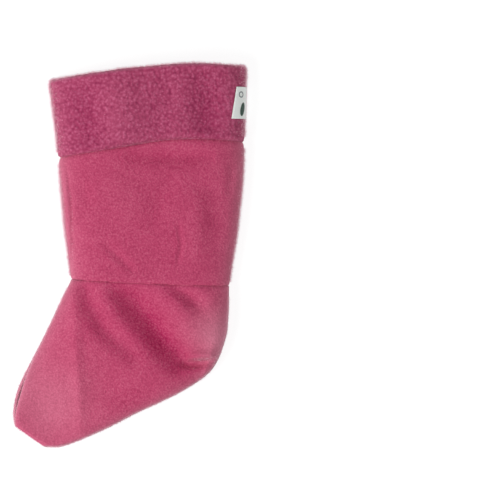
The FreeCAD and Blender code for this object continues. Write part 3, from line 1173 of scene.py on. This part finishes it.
@dataclass
class WovenLabel:
    """A ribbon folded round the cuff's back edge, with a ring and a bar woven into it."""

    low: float = 102.4               # levels along the cuff between which it lies
    high: float = 126.4
    leaf_low: float = 12.3           # how far the upper leaf reaches in, at either level
    leaf_high: float = 8.4
    round_edge: float = 6.5          # run of the ribbon round the cuff's edge
    tuck: float = 5.0                # run of the lower leaf
    stand_off: float = 1.0           # how far its middle line stands off the cuff
    thick: float = 0.45
    lowest: float = 0.3              # no part lies lower than this above the floor
    probe: float = 0.2               # its slope is read over this run to either side
    skew: float = 0.022              # how much it leans across for each millimetre along
    bow: float = 0.175               # how much its middle stands up
    rows: int = 60
    columns: int = 26
    round_steps: int = 720           # steps of the cuff's section that it follows
    ring_at: tuple[float, ...] = (-10.6, 120.6, 1.9, 0.9)       # run, level, radius and width of its band
    bar_at: tuple[float, ...] = (-8.9, 109.6, 10.4, 4.4)        # run, level, length and width
    bar_lean: float = -0.2

    def leaf_at(self, y: np.ndarray) -> np.ndarray:
        """Run from the cuff's back edge to the upper leaf's inner end."""
        return np.interp(y, [self.low, self.high], [self.leaf_low, self.leaf_high]) + self.round_edge

    def route(self) -> tuple[np.ndarray, np.ndarray, np.ndarray, np.ndarray]:
        """The ribbon's middle line round the cuff's back edge.

        Returns:
            X, Z, the run from the edge and the share of the cuff's creases that it follows.
        """
        steps = self.round_steps
        tube = OUTLINE.cuff(steps)
        y = np.full((1, steps), (self.low + self.high) / 2)
        x, z = tube.place(y, np.full((1, steps), -self.stand_off))
        _, up, side = tube.loop()
        near = slice(steps // 3, steps * 11 // 18)       # the part of the section about the back edge
        x, z, creased = x[0][near], z[0][near], np.where(side > 0, up, 0)[near]
        run = np.concatenate([[0], np.cumsum(np.hypot(np.diff(x), np.diff(z)))])
        edge = run[np.argmax(x)]
        return x, z, run - edge, creased

    def surface(self, a: np.ndarray, y: np.ndarray, lift: np.ndarray) -> np.ndarray:
        """Points on the ribbon.

        Args:
            a: run from the cuff's back edge, negative on the upper leaf.
            y: level along the cuff's edge.
            lift: height above the ribbon's middle line.

        Returns:
            Rows of x, y, z in the outline's coordinates.
        """
        x, z, run, creased = self.route()
        px, pz = np.interp(a, run, x), np.interp(a, run, z)
        pz = pz + np.interp(a, run, creased) * relief(px, y + 0 * px, CUFF_CREASES)
        dx = np.interp(a + self.probe, run, x) - np.interp(a - self.probe, run, x)
        dz = np.interp(a + self.probe, run, z) - np.interp(a - self.probe, run, z)
        size = np.hypot(dx, dz)
        lean = (y - (self.low + self.high) / 2) * self.skew
        bow = self.bow * np.cos((y - self.low) / (self.high - self.low) * 2 * math.pi)
        pz = np.maximum(pz + dx / size * (lift + bow), self.lowest)
        return np.stack([px - dz / size * lift + lean, y, pz], -1)

    def build(self, shift: Shift) -> bpy.types.Object:
        """Build the ribbon as a thin closed shell.

        Args:
            shift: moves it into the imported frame.

        Returns:
            The ribbon.
        """
        t = np.linspace(0, 1, self.rows)
        y = np.linspace(self.low, self.high, self.columns)
        leaf = self.leaf_at(y)
        a = -leaf[None, :] + (leaf[None, :] + self.tuck) * t[:, None]
        yy = np.repeat(y[None, :], self.rows, 0)
        half = self.thick / 2
        outer = self.surface(a, yy, np.full(a.shape, half)).reshape(-1, 3)
        inner = self.surface(a, yy, np.full(a.shape, -half)).reshape(-1, 3)
        faces, _ = shell_faces(self.rows, self.columns)
        piece = mesh_piece("woven_label", shift.apply(np.concatenate([outer, inner])), faces)
        turned_outward(piece)
        return piece

    def laid_on(self, name: str, shift: Shift) -> bpy.types.Object:
        """Lay the active piece on the ribbon: made flat, its x is the run, its y the level, its z the height.

        Args:
            name: the piece's name.
            shift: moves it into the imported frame.

        Returns:
            The piece, at the origin.
        """
        piece = bpy.context.active_object
        bpy.ops.object.mode_set(mode="OBJECT")
        bpy.ops.object.transform_apply(location=True, rotation=True, scale=True)
        bpy.ops.object.shade_smooth()
        a, y, lift = points_of(piece).T
        points = shift.apply(self.surface(a, y, self.thick / 2 + lift))
        piece.data.vertices.foreach_set("co", (points * MM).ravel())
        piece.data.update()
        piece.name = piece.data.name = name
        turned_outward(piece)
        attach(piece, "root")
        LOG.info("%s: %d faces", name, len(piece.data.polygons))
        return piece

    def ring(self, shift: Shift) -> bpy.types.Object:
        """Weave the ring: a torus pressed flat, its rim notched where the satin stitches turn.

        Args:
            shift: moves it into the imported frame.

        Returns:
            The ring.
        """
        run, level, radius, band = self.ring_at
        bpy.ops.object.select_all(action="DESELECT")
        bpy.ops.mesh.primitive_torus_add(location=(run * MM, level * MM, 0.0), major_radius=radius * MM,
                                         minor_radius=band / 2 * MM, major_segments=56, minor_segments=10)
        piece = bpy.context.active_object
        pick_faces(piece, lambda face: face.index // 10 % 4 < 2)
        bpy.ops.transform.resize(value=(1.03, 1.03, 1.2))
        bpy.ops.mesh.select_all(action="SELECT")
        bpy.ops.transform.resize(value=(1.0, 1.0, 0.35))
        return self.laid_on("label_ring", shift)

    def bar(self, shift: Shift) -> bpy.types.Object:
        """Weave the bar: a flat oval, domed by a few insets.

        Args:
            shift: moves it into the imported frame.

        Returns:
            The bar.
        """
        run, level, length, width = self.bar_at
        bpy.ops.object.select_all(action="DESELECT")
        bpy.ops.mesh.primitive_cylinder_add(vertices=48, radius=0.5 * MM, depth=0.2 * MM,
                                            location=(run * MM, level * MM, 0.1 * MM))
        piece = bpy.context.active_object
        bpy.ops.object.mode_set(mode="EDIT")
        bpy.ops.transform.resize(value=(width, length, 1.0))
        pick_faces(piece, lambda face: abs(face.normal.z) > 0.9)
        for share, rise in ((0.16, 1.5), (0.3, 1.2), (0.3, 1.0), (0.3, 1.0)):
            bpy.ops.mesh.inset(thickness=share * width * 0.3 * MM, use_even_offset=False)
            bpy.ops.transform.resize(value=(1.0, 1.0, rise))
        piece.rotation_euler[2] = self.bar_lean
        return self.laid_on("label_bar", shift)

    def stitches(self, shift: Shift) -> bpy.types.Object:
        """Sew the upper leaf down: one round-ended stitch, copied along the leaf's inner end.

        Args:
            shift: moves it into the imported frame.

        Returns:
            The stitches, as one piece.
        """
        pitch, length, radius, inset = 2.6, 1.7, 0.22, 1.2
        bpy.ops.object.select_all(action="DESELECT")
        bpy.ops.mesh.primitive_cylinder_add(vertices=10, radius=radius * MM, depth=length * MM,
                                            rotation=(math.pi / 2, 0, 0))
        first = bpy.context.active_object
        bpy.ops.object.transform_apply(rotation=True)
        pick_faces(first, lambda face: abs(face.normal.y) > 0.9)
        bpy.ops.mesh.bevel(offset=0.12 * MM, segments=3)
        bpy.ops.object.mode_set(mode="OBJECT")
        copies = [first]
        for k in range(1, int((self.high - self.low - length) // pitch) + 1):
            copy = first.copy()
            copy.data = first.data.copy()
            bpy.context.scene.collection.objects.link(copy)
            copies.append(copy)
        for k, stitch in enumerate(copies):
            level = self.low + 1.0 + length / 2 + k * pitch
            stitch.location = ((inset - self.leaf_at(level)) * MM, level * MM, 0.0)
            stitch.select_set(True)
        bpy.ops.object.join()
        piece = self.laid_on("label_stitches", shift)
        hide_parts("label_thread")
        return piece

    def dress(self, piece: bpy.types.Object, marks: list, material: bpy.types.Material) -> None:
        """Args:
            piece: the ribbon.
            marks: what is woven into it or sewn through it; not used.
            material: its finish.
        """
        piece.data.materials.append(material)
        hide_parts("label")


# ---------------------------------------------------------------- studio


@dataclass
class Studio:
    """A plain pale floor, soft light and a camera straight above the sock."""

    view_mm: float = 376.0
    aim_x: float = 89.7
    aim_y: float = 4.9
    camera_height: float = 2600.0
    sensor: float = 36.0
    floor_side: float = 4.0
    floor_level: float = -0.0002
    floor_glow: float = 0.86
    world_light: float = 0.37

    def build(self) -> None:
        """Lay the floor, hang the lights and set the camera."""
        bpy.ops.object.select_all(action="DESELECT")
        bpy.ops.mesh.primitive_plane_add(size=self.floor_side, location=(0, 0, self.floor_level))
        floor = bpy.context.active_object
        floor.name = "floor"
        mat = bpy.data.materials.new("matt_white_card")
        mat.use_nodes = True
        shader = mat.node_tree.nodes["Principled BSDF"]
        shader.inputs["Base Color"].default_value = linear(FLOOR_CARD)
        shader.inputs["Roughness"].default_value = 1.0
        shader.inputs["Specular IOR Level"].default_value = 0.0
        shader.inputs["Emission Color"].default_value = (1, 1, 1, 1)
        shader.inputs["Emission Strength"].default_value = self.floor_glow
        floor.data.materials.append(mat)
        self.lamp("key", (-1.1, -0.5, 1.0), 0.8, 23.0)
        self.lamp("fill", (0.9, 0.4, 1.5), 1.6, 8.0)
        world = bpy.data.worlds.new("studio_white")
        world.use_nodes = True
        background = world.node_tree.nodes["Background"]
        background.inputs["Color"].default_value = (1, 1, 1, 1)
        background.inputs["Strength"].default_value = self.world_light
        bpy.context.scene.world = world
        bpy.context.scene.view_settings.view_transform = "Standard"
        data = bpy.data.cameras.new("overhead")
        data.sensor_width = self.sensor
        data.lens = self.sensor * self.camera_height / self.view_mm
        camera = bpy.data.objects.new("overhead", data)
        camera.location = (self.aim_x * MM, self.aim_y * MM, self.camera_height * MM)
        bpy.context.scene.collection.objects.link(camera)
        bpy.context.scene.camera = camera

    def lamp(self, name: str, place: tuple[float, float, float], size: float, power: float) -> None:
        """Hang a square area lamp that points at the sock.

        Args:
            name: the lamp's name.
            place: where it hangs, in metres.
            size: its side, in metres.
            power: its power, in watts.
        """
        data = bpy.data.lights.new(name, "AREA")
        data.size = size
        data.energy = power
        lamp = bpy.data.objects.new(name, data)
        lamp.location = place
        lamp.rotation_euler = Vector(place).to_track_quat("Z", "Y").to_euler()
        bpy.context.scene.collection.objects.link(lamp)


def main() -> None:
    """Build the studio and every piece of the sock."""
    logging.basicConfig(level=logging.INFO, format="%(name)s %(message)s")
    Studio().build()
    shift = Shift.from_frame()
    body, curly, fibres = BODY_FLEECE.material(), CUFF_FLEECE.material(), FIBRE_ENDS.material()

    leg = LegPanel()
    leg_piece = leg.build(shift)
    leg.dress(leg_piece, body)
    cuff = CuffBand()
    cuff_piece = cuff.build(shift)
    cuff.dress(cuff_piece, curly)
    upper = FootSide("foot_fleece_upper", "foot_side_upper", True)
    lower = FootSide("foot_fleece_lower", "foot_side_lower", False, peek=2.3)
    foot_pieces = []
    for side in (upper, lower):
        foot_pieces.append(side.build(shift))
        side.dress(foot_pieces[-1], body)

    for fuzz, panel, outer in (
        (Fuzz("leg_fuzz", "body_fleece", count=6000, seed=11), leg_piece, leg.outer_faces()),
        (Fuzz("cuff_fuzz", "cuff_fleece", count=11000, seed=12), cuff_piece, cuff.outer_faces()),
        (Fuzz("foot_upper_fuzz", "body_fleece", count=7000, seed=13), foot_pieces[0], upper.outer_faces()),
        (Fuzz("foot_lower_fuzz", "body_fleece", count=5000, seed=14), foot_pieces[1], lower.outer_faces()),
    ):
        fuzz.dress(fuzz.build(panel, outer), fibres)

    label = WovenLabel()
    label_piece = label.build(shift)
    ring = label.ring(shift)
    ring.data.materials.append(MARK_GREY.material())
    bar = label.bar(shift)
    bar.data.materials.append(MARK_GREEN.material())
    stitches = label.stitches(shift)
    stitches.data.materials.append(LABEL_THREAD.material())
    label.dress(label_piece, [ring, bar, stitches], LABEL_RIBBON.material())

    seam = SEAM_THREAD.material()
    for name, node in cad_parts.items():
        if name.endswith("_thread"):
            node.data.materials.clear()
            node.data.materials.append(seam)
            LOG.info("%s: shown as built", name)


if __name__ == "__main__":
    main()
